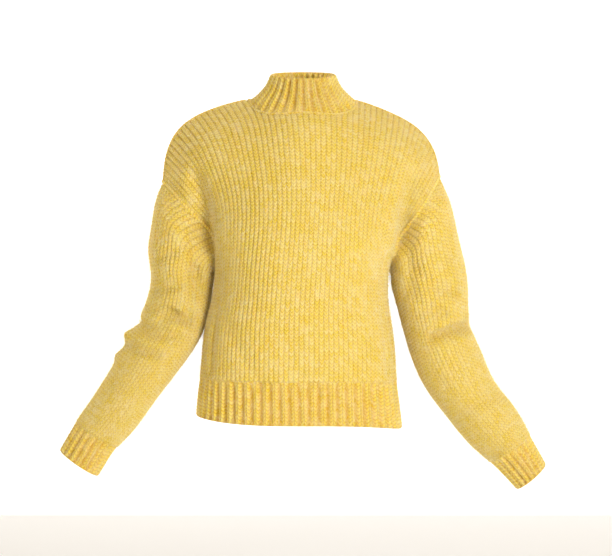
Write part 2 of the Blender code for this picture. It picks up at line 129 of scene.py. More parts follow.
# Folds, in millimetres: the line that each follows, how wide it is to either side, and the push at its
# middle. The first eight are the solids' own, and the rest are finer.
FOLDS = (
    # the valley between the chest and the front of each armhole
    (((-196, -75, -135), (-170, -62, -190), (-162, -45, -250)), 18, (6, 20, 0)),
    (((196, -75, -130), (174, -62, -185), (163, -45, -245)), 18, (-4, 16, 0)),
    # the same at the back
    (((-196, 80, -135), (-172, 72, -190), (-160, 50, -250)), 18, (5, -14, 0)),
    (((196, 80, -130), (176, 72, -185), (163, 50, -245)), 18, (-4, -14, 0)),
    # creases at the bend of each sleeve
    (((-300, -20, -386), (-262, -65, -388), (-225, -62, -372)), 12, (5, 6, 3)),
    (((-300, 20, -386), (-262, 55, -388), (-225, 55, -372)), 12, (5, -6, 3)),
    (((296, -20, -392), (262, -62, -402), (226, -60, -414)), 12, (-5, 6, 2)),
    (((296, 20, -392), (262, 55, -402), (226, 55, -414)), 12, (-5, -6, 2)),
    # the -X elbow: two bulges that stand out, with nips between them
    (((-288, -30, -388), (-288, 30, -388)), 9, (7, 0, 0)),
    (((-302, -30, -410), (-302, 30, -410)), 8, (-7, 0, 3)),
    (((-309, -30, -428), (-309, 30, -428)), 7, (4, 0, 0)),
    (((-320, -28, -446), (-320, 28, -446)), 9, (-5, 0, 2)),
    # troughs that run from these round the front and the back of the elbow
    (((-276, -40, -358), (-238, -64, -366), (-194, -55, -386)), 7.5, (0, 12, 0)),
    (((-276, -45, -376), (-242, -64, -386), (-210, -60, -394)), 7, (0, -3, 0)),
    (((-292, -42, -392), (-256, -66, -404), (-212, -64, -410)), 7.5, (0, 11, 0)),
    (((-296, -45, -410), (-265, -66, -420), (-235, -66, -426)), 7, (0, -3, 0)),
    (((-308, -42, -428), (-280, -66, -434), (-246, -70, -442)), 7, (0, 9, 0)),
    (((-270, 45, -355), (-238, 54, -366), (-194, 50, -386)), 8, (0, -7, 0)),
    (((-282, 38, -392), (-250, 50, -404), (-215, 50, -404)), 8, (0, -6, 0)),
    # soft folds that fan out of both underarms across the upper sleeves, front and back
    (((-182, -64, -238), (-222, -67, -262), (-252, -50, -272)), 11, (0, 6, 0)),
    (((-184, -62, -298), (-216, -64, -322), (-256, -45, -330)), 10, (0, 8, 0)),
    (((-184, 62, -290), (-216, 62, -312), (-252, 45, -322)), 11, (0, -7, 0)),
    (((182, -64, -290), (218, -64, -318), (262, -48, -334)), 10, (0, 7, 0)),
    (((186, -60, -352), (214, -62, -364), (242, -58, -368)), 9, (0, 7, 0)),
    (((184, 60, -290), (218, 60, -318), (260, 45, -332)), 11, (0, -7, 0)),
    # the -X sleeve leans on the body under the arm
    (((-160, 0, -322), (-164, 0, -358)), 20, (2.4, 0, 0)),
    # hollows at the inside of the -X elbow
    (((-180, -60, -225), (-184, -55, -330)), 20, (0, 13, 0)),
    (((-186, -55, -300), (-170, -50, -322)), 14, (-2, 10, 0)),
    (((-192, -55, -375), (-180, -50, -392)), 12, (-2, 10, 0)),
    # and beside the underarm of the +X sleeve
    (((180, -60, -215), (184, -55, -320)), 18, (0, 11, 0)),
    # the +X elbow: one long crease from the outside, and a bulge under it
    (((290, -35, -392), (258, -62, -400), (222, -64, -412)), 7, (-2, 11, 0)),
    (((292, -30, -410), (262, -62, -418)), 10, (2, -4, 0)),
    (((290, 30, -392), (258, 52, -400), (222, 52, -412)), 7, (-2, -7, 0)),
    # nips in the lower +X sleeve, and where both sleeves are gathered to their cuffs
    (((344, -55, -512), (300, -78, -520), (262, -66, -545)), 9, (0, 5, 0)),
    (((388, -60, -560), (355, -88, -588), (322, -70, -612)), 8, (0, 5, 0)),
    (((344, 25, -512), (300, 30, -520), (262, 26, -545)), 9, (0, -5, 0)),
    (((-386, -62, -540), (-350, -88, -562), (-318, -70, -588)), 8, (0, 4, 0)),
    # upright hollows down both sides of the body, front and back
    (((-150, -70, -275), (-151, -75, -360), (-158, -75, -470)), 9, (3, 7, 0)),
    (((-166, -40, -400), (-174, -44, -500)), 8, (5, 4, 0)),
    (((143, -70, -270), (142, -75, -360), (149, -75, -470)), 9, (-3, 7, 0)),
    (((152, -40, -380), (160, -44, -500)), 8, (-5, 4, 0)),
    (((-148, 65, -285), (-150, 66, -380), (-155, 66, -470)), 10, (3, -6, 0)),
    (((142, 65, -285), (141, 66, -380), (148, 66, -470)), 10, (-3, -6, 0)),
    # slack drawn across the lower body towards the hem
    (((-140, -105, -385), (-105, -122, -440), (-72, -126, -494)), 14, (0, 5, 0)),
    (((-32, -140, -430), (-8, -138, -470), (20, -134, -508)), 13, (0, 4, 0)),
    (((120, -112, -400), (95, -124, -450)), 13, (0, 4, 0)),
    (((-110, 105, -390), (-70, 118, -470)), 14, (0, -5, 0)),
    (((100, 105, -380), (60, 118, -460)), 14, (0, -5, 0)),
)

# The knitting
COURSE = 0.0062  # height of a stitch
COLUMNS, ROWS = 4, 3  # of mesh points to each stitch
LEAN = 0.9  # how many courses the legs of a V rise from its middle to its sides
STITCH_RELIEF = 0.0030
SINK = 0.0017  # how far the yarn's grooves lie under the solids' outside
RIB_RELIEF = 0.0068  # how far a rib stands over the groove beside it
PANEL_WALES, SLEEVE_WALES = 58, 48
HEM_RIBS, CUFF_RIBS, COLLAR_RIBS = 30, 18, 30  # hem: for the front and again for the back
RIB_FADE = 2.5  # courses from its join over which a groove reaches its full depth
FINE = 240  # points along a curve while its length is measured

# Height of the yarn over the groove, across half a stitch from its middle and up one leg
ACROSS = np.array([0.50, 1.0, 0.95, -0.55])
UP_LEG = np.array([0.45, 1.0, 0.85])

# The ridges of the seams: radius, and how far their middle lies over the cloth
SIDE_CORD, ARMHOLE_CORD = (0.0019, -0.0008), (0.0027, 0.0002)
SHOULDER_CORD, NECK_CORD = (0.0019, -0.0004), (0.0022, -0.0004)
CORD_POINTS = 9  # round a ridge

# The painted shade that lies between the stitches, the yarn's colours on them and where it is brushed, and
# the fibres brushed out of it
PAINTED_GROOVE_SHADE, YARN, PALE = (0.60, 0.34, 0.003), (0.85, 0.628, 0.050), (0.94, 0.86, 0.52)
FIBRE_COLOURS = ((0.92, 0.68, 0.16), (0.96, 0.86, 0.56))
FIBRE_LENGTH = (0.004, 0.014)
FIBRE_RISE = (0.2, 1.4)  # how steeply a fibre leaves the cloth
FIBRE_WIDTH = 0.00016
FIBRE_COUNT = 90000  # on the torso and again on the sleeves


def cubic(knots, values, at):
    """The natural cubic spline through values [knot, column, 3], read at places [row, column]."""
    knots = np.asarray(knots, float)
    count = len(knots)
    step = np.diff(knots)
    system, right = np.eye(count), np.zeros(values.shape)
    slope = np.diff(values, axis=0) / step[:, None, None]
    for i in range(1, count - 1):
        system[i, i - 1 : i + 2] = step[i - 1], 2 * (step[i - 1] + step[i]), step[i]
        right[i] = 6 * (slope[i] - slope[i - 1])
    bend = np.linalg.solve(system, right.reshape(count, -1)).reshape(values.shape)
    i = np.clip(np.searchsorted(knots, at, side="right") - 1, 0, count - 2)
    column = np.broadcast_to(np.arange(values.shape[1]), at.shape)
    h, a, b = step[i][..., None], (knots[i + 1] - at)[..., None], (at - knots[i])[..., None]
    return (
        bend[i, column] * a**3 / (6 * h)
        + bend[i + 1, column] * b**3 / (6 * h)
        + (values[i, column] / h - bend[i, column] * h / 6) * a
        + (values[i + 1, column] / h - bend[i + 1, column] * h / 6) * b
    )


def lengths(points):
    """How far along each line of points [point, ..., 3] its points are."""
    steps = np.linalg.norm(np.diff(points, axis=0), axis=-1)
    return np.concatenate([np.zeros((1,) + steps.shape[1:]), np.cumsum(steps, axis=0)])


def smooth(controls):
    """A fine polyline through a few control points."""
    controls = np.asarray(controls, float)
    along = lengths(controls)
    return cubic(along, controls[:, None], np.linspace(0, along[-1], FINE)[:, None])[:, 0]


def spread(line, shares):
    """The points at these shares of a polyline's length."""
    along = lengths(line)
    at = np.asarray(shares) * along[-1]
    return np.stack([np.interp(at, along, line[:, k]) for k in range(3)], axis=1)


def half_ring(ring, front):
    """The front or back half of a torso ring, from the -X side to the +X side."""
    height, minus, plus, to_front, to_back, squareness, drop = ring
    turn = np.linspace(-np.pi / 2, np.pi / 2, FINE)
    power = 2 / squareness
    x = np.sign(np.sin(turn)) * np.abs(np.sin(turn)) ** power
    y = np.maximum(np.cos(turn), 0) ** power
    x = np.where(x < 0, x * minus, x * plus)
    y = y * (-to_front if front else to_back)
    z = height + drop / 2 * np.sign(-x) * np.abs(x / np.where(x < 0, minus, plus)) ** 3
    return np.stack([x, y, z], axis=1)


def upper_row(row, share):
    """A row above the underarms, from the -X armhole to the +X one, from the points of its -X half."""
    row = np.array(row, float)
    far = row[1:] * [share, 1, 1]
    near = row[:0:-1] * [-1, 1, 1]
    return smooth(np.concatenate([near, row[:1], far]))


def torso_rows(front):
    """Every row of the front or back, from the hem to the shoulder seam, as fine polylines."""
    rows = [half_ring(ring, front) for ring in TORSO_RINGS]
    above = FRONT_ROWS if front else BACK_ROWS
    rows += [upper_row(row, share) for row, share in zip(above, PLUS_X_SHARE)]
    return rows + [smooth([(-x, NECK_MIDDLE_Y, z) for x, z in zip(SHOULDER_X, SHOULDER_Z)])]


def folded(points):
    """Presses the folds into the cloth's points."""
    pushed = points.copy()
    for line, width, push in FOLDS:
        path, width, push = smooth(np.array(line) / 1000)[::8], width / 1000, np.array(push) / 1000
        low, high = path.min(axis=0) - 3 * width, path.max(axis=0) + 3 * width
        near = np.all((points > low) & (points < high), axis=-1)
        away = np.linalg.norm(points[near][:, None] - path[None], axis=2).min(axis=1)
        pushed[near] += np.exp(-((away / width) ** 2))[:, None] * push
    return pushed


class Cloth:
    """A smooth sheet through rows of points [row, column, 3]. Its courses are marked along every column."""

    def __init__(self, knots, rows, start, end, closed, own_length=1.0):
        self.knots, self.rows, self.closed = knots, rows, closed
        columns = rows.shape[1]
        start, end = np.broadcast_to(start, columns), np.broadcast_to(end, columns)
        self.places = start + (end - start) * np.linspace(0, 1, FINE)[:, None]
        self.along = lengths(self.read(self.places))
        total = self.along[-1]
        self.courses = (total * own_length + total.mean() * (1 - own_length)) / COURSE

    def read(self, places, shift=0):
        """Points at these places up the columns, or up the columns this many to the side."""
        columns = np.arange(self.rows.shape[1]) + shift
        if self.closed:
            columns = columns % (self.rows.shape[1] - 1)
        columns = np.clip(columns, 0, self.rows.shape[1] - 1)
        return folded(cubic(self.knots, self.rows[:, columns], places))

    def places_of(self, courses):
        """The places up the columns where these courses [row, column] are."""
        share = courses / self.courses
        wanted = share * self.along[-1]
        found = [np.interp(w, a, p) for w, a, p in zip(wanted.T, self.along.T, self.places.T)]
        return np.stack(found, axis=1)

    def surface(self, places):
        """Points and normals at these places [row, column]."""
        a_little = (self.knots[-1] - self.knots[0]) * 1e-4
        up = self.read(places + a_little) - self.read(places - a_little)
        across = self.read(places, 1) - self.read(places, -1)
        normals = np.cross(across, up)
        return self.read(places), normals / np.linalg.norm(normals, axis=-1)[..., None]


def stitch_columns(wales):
    """Each mesh column's place in wales, and how far it is from its stitch's middle (0) to its side (1)."""
    wale = np.arange(wales * COLUMNS + 1) / COLUMNS
    return wale, np.abs(2 * (wale % 1) - 1)


def stitch_rows(cloth, side):
    """The course that each mesh point lies on. The rows zigzag, so that they follow the legs of the Vs."""
    rows = ROWS * int(np.ceil(cloth.courses.max()))
    level = np.minimum(np.arange(rows + 1)[:, None] / ROWS, cloth.courses)
    lean = LEAN * side * np.clip(level, 0, 1) * np.clip(cloth.courses - level, 0, 1)
    return np.minimum(level + lean, cloth.courses)


def v_relief(rows, side):
    """The yarn's height over the grooves, for V-shaped stitches."""
    across = np.interp(side, np.linspace(0, 1, len(ACROSS)), ACROSS)
    up_leg = UP_LEG[np.arange(rows) % ROWS]
    return STITCH_RELIEF * (0.25 * across + 0.75 * across * up_leg[:, None])


def rib_profile(wale):
    """1 on a rib and -1 in the groove beside it. A rib takes two wales."""
    wave = -np.cos(np.pi * wale)
    return np.sign(wave) * np.abs(wave) ** 0.7


def quads(rows, columns, offset=0):
    """The faces of a grid of points, seen from the side where columns run to the right and rows up."""
    number = offset + np.arange(rows * columns).reshape(rows, columns)
    corners = number[:-1, :-1], number[:-1, 1:], number[1:, 1:], number[1:, :-1]
    return np.stack([c.ravel() for c in corners], axis=1)


def edge_strip(outer, inner):
    """Triangles between an edge's outer points and its inner ones, of which there are fewer or as many."""
    step = (len(outer) - 1) // (len(inner) - 1)
    first = np.repeat(inner[:-1], step)
    fans = np.stack([outer[1:], outer[:-1], first], axis=1)
    last = np.stack([inner[:-1], inner[1:], outer[step::step]], axis=1)
    return np.concatenate([fans, last])


def shell_faces(rows, columns, row_step, column_step, closed):
    """Faces of a closed shell: an outer grid, an inner grid with fewer points, and the edges between."""
    outer = np.arange(rows * columns).reshape(rows, columns)
    inner_rows, inner_columns = (rows - 1) // row_step + 1, (columns - 1) // column_step + 1
    inner = outer.size + np.arange(inner_rows * inner_columns).reshape(inner_rows, inner_columns)
    faces = [quads(rows, columns), quads(inner_rows, inner_columns, outer.size)[:, ::-1]]
    strips = [edge_strip(outer[0], inner[0]), edge_strip(outer[-1, ::-1], inner[-1, ::-1])]
    if not closed:
        strips += [edge_strip(outer[:, -1], inner[:, -1]), edge_strip(outer[::-1, 0], inner[::-1, 0])]
    return np.concatenate(faces), np.concatenate(strips)


def welded(points, four, three):
    """Joins points at one place, and drops the faces and corners that this leaves without size."""
    _, first, same = np.unique(np.round(points, 6), axis=0, return_index=True, return_inverse=True)
    same = same.ravel()
    corner_same = same[four] == same[np.roll(four, -1, axis=1)]
    doubles = corner_same.sum(axis=1)
    whole = four[doubles == 0]
    cut, gone = four[doubles == 1], corner_same[doubles == 1]
    cut = cut[~gone].reshape(-1, 3)
    three = np.concatenate([three, cut])
    flat = (same[three] == same[np.roll(three, -1, axis=1)]).any(axis=1)
    return points[first], same, whole, three[~flat]


def placed(name, mesh, material):
    """Puts a mesh of this material in the scene, as an object."""
    mesh.materials.append(material)
    piece = bpy.data.objects.new(name, mesh)
    bpy.context.scene.collection.objects.link(piece)
    return piece


def mesh_piece(name, points, four, three, maps, material):
    """Makes a smooth mesh object. Each map gives a place on a UV map for every point before welding."""
    kept, same, four, three = welded(points, four, three)
    mesh = bpy.data.meshes.new(name)
    mesh.from_pydata(kept.tolist(), [], same[four].tolist() + same[three].tolist())
    corners = np.concatenate([four.ravel(), three.ravel()])
    for label, places in maps.items():
        layer = mesh.uv_layers.new(name=label)
        layer.data.foreach_set("uv", places[corners].astype(np.float32).ravel())
    mesh.shade_smooth()
    return placed(name, mesh, material)


def unit(values):
    """The values spread over 0 to 1."""
    return (values - values.min()) / (np.ptp(values) + 1e-9)


def knitted_shell(name, cloth, ribs, wall, outwards, inner_step, material, round_end=None):
    """Knits one piece. round_end says which of its ends, first or last, is an open edge and is rounded.

    With inner_step, the inside has one point to each stitch, and not one to each point of the outside.
    """
    columns = cloth.rows.shape[1]
    wale, side = stitch_columns((columns - 1) // COLUMNS)
    if round_end == "last":
        wale = wale + 1  # the collar has a rib, not a groove, over each shoulder seam
    course = stitch_rows(cloth, side)
    rows = len(course)
    base, normals = cloth.surface(cloth.places_of(course))
    normals = normals * (1 if outwards else -1)
    relief = v_relief(rows, side)
    depth = np.full(course.shape, float(wall))
    cut = base
    if ribs:
        profile = rib_profile(wale)
        from_join = course if round_end == "last" else cloth.courses - course
        groove = np.clip(from_join / RIB_FADE, 0, 1) ** 0.7
        waves = groove * RIB_RELIEF / 2 * (profile - 1)
        relief = relief * np.clip(profile, 0.15, 0.8) + waves
        cut = base + normals * waves[..., None]
    fade = np.clip((cloth.courses - course) * ROWS, 0, 1)
    lift = relief * fade - SINK
    if round_end:
        to_edge = np.clip(course if round_end == "first" else cloth.courses - course, 0, 1)
        pinch = 1 - np.sqrt(1 - (1 - to_edge) ** 2)
        lift = lift * (1 - pinch) - wall / 2 * pinch
        depth = depth * (1 - 0.96 * pinch)
    outer = base + normals * lift[..., None]
    inner_lift = lift - depth if ribs else -depth
    step = (ROWS, COLUMNS) if inner_step else (1, 1)
    inner = (base + normals * inner_lift[..., None])[:: step[0], :: step[1]]
    four, three = shell_faces(rows, columns, *step, cloth.closed)
    if not outwards:
        four, three = four[:, ::-1], three[:, ::-1]
    points = np.concatenate([outer.reshape(-1, 3), inner.reshape(-1, 3)])
    stitch = np.stack(np.broadcast_arrays(wale, course), axis=-1)
    bake = np.stack(np.broadcast_arrays(unit(wale), unit(np.arange(rows))[:, None]), axis=-1)
    inside_stitch, inside_bake = (each[:: step[0], :: step[1]] for each in (stitch, bake))
    # on the bake map, the outside lies on the lower half, and the inside on the upper half
    halves = bake * [0.98, 0.48] + [0.01, 0.01], inside_bake * [0.98, 0.48] + [0.01, 0.51]
    maps = {
        "stitch": np.concatenate([half.reshape(-1, 2) for half in (stitch, inside_stitch)]),
        "OFBake": np.concatenate([half.reshape(-1, 2) for half in halves]),
    }
    piece = mesh_piece(name, points, four, three, maps, material)
    # flat sizes: a course that every column has, all the way across, and the longest column
    whole_rows = int(ROWS * cloth.courses.min()) + 1
    across, up = lengths(cut[:whole_rows, ::COLUMNS].swapaxes(0, 1))[-1].max(), lengths(cut)[-1].max()
    return piece, outer, normals


# The form


def panels(wales):
    """The front's and the back's rows, finely spaced, with the two brought together at the side seams."""
    rows = {front: torso_rows(front) for front in (True, False)}
    middles = [np.array([spread(row, [0.25, 0.5, 0.75]).mean(axis=0) for row in rows[f]]) for f in rows]
    knots = (lengths(middles[0]) + lengths(middles[1])) / 2
    underarm = knots[UNDERARM]
    places = np.unique(np.concatenate([knots, np.linspace(0, knots[-1], 90)]))
    shares = np.linspace(0, 1, wales * COLUMNS + 1)
    at = np.repeat(places[:, None], len(shares), axis=1)
    front, back = (cubic(knots, np.array([spread(row, shares) for row in rows[f]]), at) for f in rows)
    for edge, nearness in ((0, 1 - 2 * shares), (-1, 2 * shares - 1)):
        half_way = (back[:, edge] - front[:, edge]) / 2 * (places < underarm)[:, None]
        ease = np.clip(nearness, 0, 1)[None, :, None] ** 6
        front = front + ease * half_way[:, None]
        back = back - ease * half_way[:, None]
    return places, knots, front, back


PLACES, KNOTS, FRONT, BACK = panels(PANEL_WALES)


def inside_neckline(points):
    """Below 0 where a point is inside the neckline as seen from above."""
    x, y = points[..., 0], points[..., 1] - NECK_MIDDLE_Y
    return (x / NECK_HALF_WIDTH) ** 2 + (y / np.where(y < 0, NECK_FRONT, NECK_BACK)) ** 2 - 1


def torso_tops(rows):
    """How far up each column of the torso ends, on a shoulder seam or on the neckline."""
    at = np.linspace(KNOTS[UNDERARM], KNOTS[-1], FINE)
    inside = inside_neckline(cubic(PLACES, rows, np.repeat(at[:, None], rows.shape[1], axis=1)))
    crossing = np.argmax(inside < 0, axis=0)
    column = np.arange(rows.shape[1])
    before, after = inside[crossing - 1, column], inside[crossing, column]
    height = at[crossing - 1] + (at[1] - at[0]) * before / (before - after)
    return np.where(crossing > 0, height, KNOTS[-1])


def armhole(side, points):
    """The armhole seam, from the underarm up the front's edge and down the back's."""
    edge = 0 if side < 0 else -1
    at = np.linspace(KNOTS[UNDERARM], KNOTS[-1], points // 2 + 1)[:, None]
    up, down = (cubic(PLACES, rows[:, [edge]], at)[:, 0] for rows in (FRONT, BACK))
    return np.concatenate([up, down[-2::-1]])


def sleeve_ring(side, ring, turns):
    """One ring of a sleeve. A turn of 0 is at the underarm, and it passes the front before the top."""
    outer_x, outer_z, inner_x, inner_z, middle_y, depth = ring
    outer = np.array([side * outer_x, middle_y, outer_z])
    inner = np.array([side * inner_x, middle_y, inner_z])
    along = (outer + inner) / 2 + np.outer(-np.cos(turns), (outer - inner) / 2)
    return along + np.outer(np.sin(turns), [0, -depth, 0])


def sleeve_rows(side, wales):
    """The sleeve's rings from the cuff's edge up to the armhole seam."""
    seam = armhole(side, wales * COLUMNS)
    turns = np.linspace(0, 2 * np.pi, len(seam))
    rings = MINUS_X_SLEEVE if side < 0 else PLUS_X_SLEEVE
    rows = np.array([seam] + [sleeve_ring(side, ring, turns) for ring in rings])[::-1]
    return lengths(rows.mean(axis=1)), rows


def neck_points():
    """The two points where the shoulder seams end at the neckline, first the -X one, as arrays [1, 3]."""
    top = FRONT[-1]
    ends = (-NECK_HALF_WIDTH, NECK_HALF_WIDTH)
    return [np.array([[np.interp(x, top[:, 0], top[:, k]) for k in range(3)]]) for x in ends]


def neckline(points):
    """The neckline seam, once round from the -X neck point along the front and then the back.

    Beside the points, gives the turns at which they lie, 0 being the middle of the front.
    """
    halves = []
    for rows in (FRONT, BACK):
        tops = torso_tops(rows)
        edge = cubic(PLACES, rows, tops[None])[0]
        halves.append(edge[tops < KNOTS[-1] - 1e-6])
    first, last = neck_points()
    line = np.concatenate([first, halves[0], last, halves[1][::-1]])
    turn = np.unwrap(np.arctan2(line[:, 0] / NECK_HALF_WIDTH, -(line[:, 1] - NECK_MIDDLE_Y) / NECK_FRONT))
    turns = np.linspace(-np.pi / 2, 1.5 * np.pi, points + 1)
    seam = np.stack([np.interp(turns, turn, line[:, k], period=2 * np.pi) for k in range(3)], axis=1)
    return turns, seam


def collar_rows(ribs):
    """The collar's rings from the neckline seam up to the top edge."""
    turns, seam = neckline(2 * ribs * COLUMNS)
    rows = [seam]
    forward = np.cos(turns)
    for half_width, front_y, back_y, front_z, side_z, back_z in COLLAR_RINGS:
        y = back_y + (front_y - back_y) * (1 + forward) / 2
        z = side_z + (front_z - back_z) / 2 * forward + ((front_z + back_z) / 2 - side_z) * forward**2
        rows.append(np.stack([half_width * np.sin(turns), y, z], axis=1))
    rows = np.array(rows)
    return lengths(rows.mean(axis=1)), rows


# Seams and brushed fibres


def seam_cord(name, path, radius, outs, material):
    """A plaited ridge along a path. outs are the outward directions at the path's points."""
    along = lengths(path)
    count = int(along[-1] / COURSE * 4)
    at = np.linspace(0, along[-1], count)
    line = np.stack([np.interp(at, along, path[:, k]) for k in range(3)], axis=1)
    out = np.stack([np.interp(at, along, outs[:, k]) for k in range(3)], axis=1)
    forward = np.gradient(line, axis=0)
    forward /= np.linalg.norm(forward, axis=1)[:, None]
    out -= (out * forward).sum(axis=1)[:, None] * forward
    out /= np.linalg.norm(out, axis=1)[:, None]
    beside = np.cross(forward, out)
    turn = np.linspace(0, 2 * np.pi, CORD_POINTS)[None, :, None]
    ends = np.clip(np.minimum(at, at[::-1]) / radius, 0.05, 1) ** 0.5
    swell = radius * ends * (1 + 0.22 * np.sin(2 * np.pi * at / COURSE))
    round_it = np.cos(turn) * beside[:, None] * 1.25 + np.sin(turn) * out[:, None] * 0.8
    points = line[:, None] + round_it * swell[:, None, None]
    four = quads(count, CORD_POINTS)
    caps = []
    for first, turned in ((0, 1), ((count - 1) * CORD_POINTS, -1)):
        fan = np.array([[first, first + k + 1, first + k] for k in range(1, CORD_POINTS - 2)])
        caps.append(fan[:, ::turned])
    wale = np.broadcast_to(np.arange(CORD_POINTS) / CORD_POINTS, (count, CORD_POINTS))
    course = np.broadcast_to((at / COURSE)[:, None], (count, CORD_POINTS))
    maps = {
        "stitch": np.stack([wale, course], axis=-1).reshape(-1, 2),
        "OFBake": np.stack([wale, unit(course)], axis=-1).reshape(-1, 2),
    }
    return mesh_piece(name, points.reshape(-1, 3), four, np.concatenate(caps), maps, material)


def edge_line(cloth, column, places, outwards):
    """The points and outward directions up one of a cloth's columns."""
    columns = cloth.rows.shape[1]
    points, normals = cloth.surface(np.repeat(places[:, None], columns, axis=1))
    return points[:, column], normals[:, column] * (1 if outwards else -1)


def sewn_seams(front, back, material):
    """The ridges where the panels are linked to each other, to the sleeves and to the collar."""
    below, above = np.linspace(0, KNOTS[UNDERARM], 60), np.linspace(KNOTS[UNDERARM], KNOTS[-1], 60)
    seams = []
    for label, edge in (("right", 0), ("left", -1)):
        lines = [edge_line(cloth, edge, below, out) for cloth, out in ((front, True), (back, False))]
        seams.append((f"{label}_side_seam", lines[0][0], lines[0][1] + lines[1][1], SIDE_CORD))
        lines = [edge_line(cloth, edge, above, out) for cloth, out in ((front, True), (back, False))]
        path, out = (np.concatenate([lines[0][k], lines[1][k][-2::-1]]) for k in (0, 1))
        seams.append((f"{label}_armhole_seam", path, out, ARMHOLE_CORD))
    tops = {True: torso_tops(FRONT), False: torso_tops(BACK)}
    ends = [(cloth.surface(tops[out][None]), out) for cloth, out in ((front, True), (back, False))]
    points, normals = (ends[0][0][k][0] for k in (0, 1))
    normals = normals - ends[1][0][1][0]
    on_shoulder = tops[True] > KNOTS[-1] - 1e-6
    half = len(on_shoulder) // 2
    for label, part in (("right", slice(0, half)), ("left", slice(half, None))):
        chosen = on_shoulder[part]
        seams.append((f"{label}_shoulder_seam", points[part][chosen], normals[part][chosen], SHOULDER_CORD))
    around, out = [], []
    for ((edge, normal), outwards), order in zip(ends, (1, -1)):
        on_neck = tops[outwards] < KNOTS[-1] - 1e-6
        around.append(edge[0][on_neck][::order])
        out.append(normal[0][on_neck][::order] * (1 if outwards else -1))
    first, last = neck_points()
    at_first, at_last = out[0][:1] + out[1][-1:], out[0][-1:] + out[1][:1]
    around = np.concatenate([around[0], last, around[1], first])
    out = np.concatenate([out[0], at_last, out[1], at_first])
    around, out = (np.concatenate([closed, closed[:3]]) for closed in (around, out))
    seams.append(("neckline_seam", around, out, NECK_CORD))
    for name, path, out, (radius, lift) in seams:
        out = out / np.linalg.norm(out, axis=1)[:, None]
        wear(seam_cord(name, path + out * lift, radius, out, material), "stockinette")


def brushed_fibres(name, surfaces, count, seed, material):
    """Thin bent fibres standing on the yarn, spread evenly over some pieces' outsides."""
    random = np.random.default_rng(seed)
    roots, outs, sides = [], [], []
    for points, normals in surfaces:
        right = np.linalg.norm(points[:-1, 1:] - points[:-1, :-1], axis=2)
        up = np.linalg.norm(points[1:, :-1] - points[:-1, :-1], axis=2)
        corners = np.stack([points[:-1, :-1], points[:-1, 1:], points[1:, :-1]], axis=2)
        roots.append(corners.reshape(-1, 3, 3))
        outs.append(normals[:-1, :-1].reshape(-1, 3))
        sides.append((right * up).ravel())
    roots, outs, area = np.concatenate(roots), np.concatenate(outs), np.concatenate(sides)
    chosen = random.choice(len(area), count, p=area / area.sum())
    a, b = random.random((2, count, 1))
    corner, right, up = roots[chosen].transpose(1, 0, 2)
    root = corner + a * (right - corner) + b * (up - corner)
    out = outs[chosen]
    drift = random.normal(size=(count, 3))
    drift -= (drift * out).sum(axis=1)[:, None] * out
    drift /= np.linalg.norm(drift, axis=1)[:, None]
    rise = random.uniform(*FIBRE_RISE, (count, 1))
    length = random.uniform(*FIBRE_LENGTH, (count, 1))
    first = drift + rise * out
    bent = first + random.normal(size=(count, 3)) * 0.5
    bent /= np.linalg.norm(bent, axis=1)[:, None]
    middle = root + first / np.linalg.norm(first, axis=1)[:, None] * length / 2
    tip = middle + bent * length / 2
    beside = np.cross(first, out)
    beside /= np.linalg.norm(beside, axis=1)[:, None]
    half = FIBRE_WIDTH / 2
    points = np.stack([root, middle + beside * half, tip, middle - beside * half], axis=1).reshape(-1, 3)
    start = 4 * np.arange(count)
    mesh = bpy.data.meshes.new(name)
    three = np.concatenate([start[:, None] + [0, 1, 3], start[:, None] + [1, 2, 3]])
    mesh.from_pydata(points.tolist(), [], three.tolist())
    cells = int(np.ceil(np.sqrt(count)))
    cell = np.stack([np.arange(count) % cells, np.arange(count) // cells], axis=1) / cells
    shape = np.array([[0.5, 0.1], [0.9, 0.5], [0.5, 0.9], [0.1, 0.5]]) / cells
    places = (cell[:, None] + shape).reshape(-1, 2)
    layer = mesh.uv_layers.new(name="OFBake")
    layer.data.foreach_set("uv", places[three.ravel()].astype(np.float32).ravel())
    mesh.shade_smooth()
    return placed(name, mesh, material)


# Yarn


def group(name, inputs, outputs):
    """A shader node group. Inputs are given as name, kind and value, and outputs as name and kind."""
    tree = bpy.data.node_groups.new(name, "ShaderNodeTree")
    for label, kind, value in inputs:
        socket = tree.interface.new_socket(label, in_out="INPUT", socket_type=f"NodeSocket{kind}")
        socket.default_value = value
    for label, kind in outputs:
        tree.interface.new_socket(label, in_out="OUTPUT", socket_type=f"NodeSocket{kind}")
    return tree, tree.nodes.new("NodeGroupInput").outputs, tree.nodes.new("NodeGroupOutput").inputs


def put(tree, socket, value):
    """Feeds a socket from another, or sets it."""
    if isinstance(value, bpy.types.NodeSocket):
        tree.links.new(value, socket)
    else:
        socket.default_value = value


def maths(tree, operation, *values):
    """The result of one sum on sockets or numbers."""
    node = tree.nodes.new("ShaderNodeMath")
    node.operation = operation
    for socket, value in zip(node.inputs, values):
        put(tree, socket, value)
    return node.outputs[0]


def between(tree, value, low, high):
    """0 at low or less, rising smoothly to 1 at high or more."""
    node = tree.nodes.new("ShaderNodeMapRange")
    node.interpolation_type = "SMOOTHSTEP"
    put(tree, node.inputs["Value"], value)
    node.inputs["From Min"].default_value = low
    node.inputs["From Max"].default_value = high
    return node.outputs["Result"]


def product(tree, first, second):
    return maths(tree, "MULTIPLY", first, second)


def mixed(tree, share, first, second):
    """The first colour, with this share of the second in it."""
    node = tree.nodes.new("ShaderNodeMix")
    node.data_type = "RGBA"
    colours_in, colour_out = node.inputs[6:8], node.outputs[2]
    put(tree, node.inputs["Factor"], share)
    for socket, value in zip(colours_in, (first, second)):
        put(tree, socket, value)
    return colour_out


